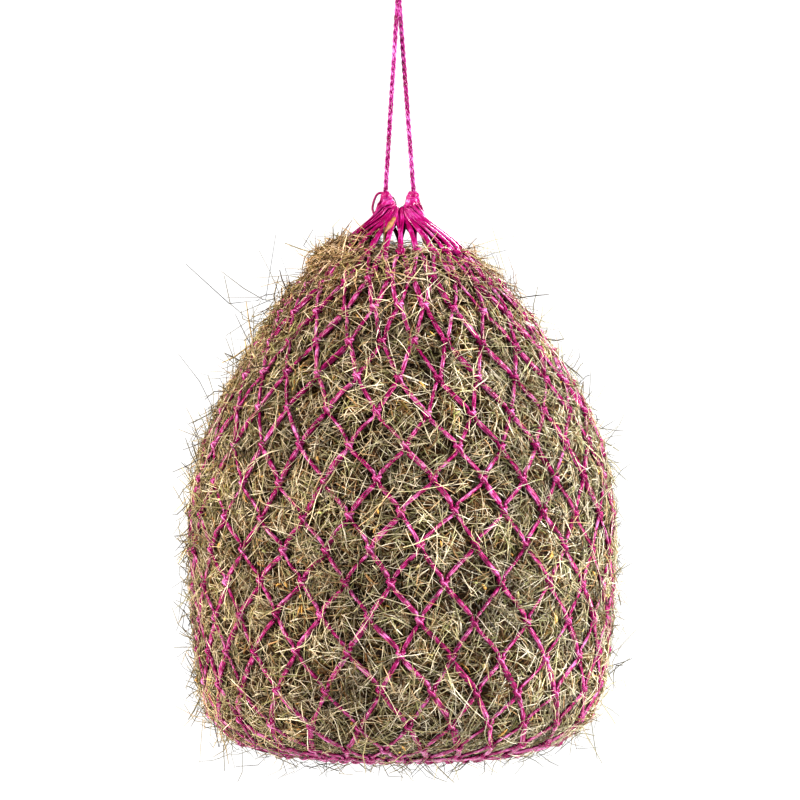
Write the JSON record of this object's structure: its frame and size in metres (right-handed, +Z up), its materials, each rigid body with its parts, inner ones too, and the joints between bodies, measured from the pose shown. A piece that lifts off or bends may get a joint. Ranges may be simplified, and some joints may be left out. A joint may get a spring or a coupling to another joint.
{
  "type": "hay net",
  "caption": "Bag of knotted twine netting packed with hay, gathered at the mouth and hung from a doubled braided drawcord with a knotted loop.",
  "frame": {"origin": "the point where a hook bears inside the top of the hanging loop", "axes": "+Z up along the hanging drawcord, +X to the right seen from the front, -Y towards the viewer"},
  "size_m": [0.5066, 0.4748, 1.0085],
  "materials": {
    "netting_twine": "satin",
    "drawcord_rope": "satin",
    "hay": "matte"
  },
  "bodies": {
    "hook_loop": {"hanging_loop": "drawcord_rope"},
    "cord_knot": {"loop_knot": "drawcord_rope"},
    "cord_legs": {"drawcord_left_leg": "drawcord_rope", "drawcord_right_leg": "drawcord_rope"},
    "filled_net": {"drawcord_mouth_run": "drawcord_rope", "mouth_row": "netting_twine", "net_row_01": "netting_twine", "net_row_02": "netting_twine", "net_row_03": "netting_twine", "net_row_04": "netting_twine", "net_row_05": "netting_twine", "net_row_06": "netting_twine", "net_row_07": "netting_twine", "net_row_08": "netting_twine", "net_row_09": "netting_twine", "net_row_10": "netting_twine", "net_row_11": "netting_twine", "net_row_12": "netting_twine", "net_row_13": "netting_twine", "net_row_14": "netting_twine", "net_row_15": "netting_twine", "net_row_16": "netting_twine", "net_row_17": "netting_twine", "net_row_18": "netting_twine", "bottom_row": "netting_twine", "bottom_gather_cord": "netting_twine", "hay_fill": "hay"}
  },
  "joints": [
    {"name": "net_spin", "type": "hinge", "parent": "hook_loop", "child": "cord_knot", "pos_m": [0, 0, -0.049], "axis": [0, 0, 1], "range_deg": [-180, 180]},
    {"name": "cord_swing", "type": "hinge", "parent": "cord_knot", "child": "cord_legs", "pos_m": [-0.002, 0, -0.075], "axis": [0, 1, 0], "range_deg": [-40, 40]},
    {"name": "net_rock", "type": "hinge", "parent": "cord_legs", "child": "filled_net", "pos_m": [0, 0, -0.316], "axis": [1, 0, 0], "range_deg": [-25, 25]}
  ]
}
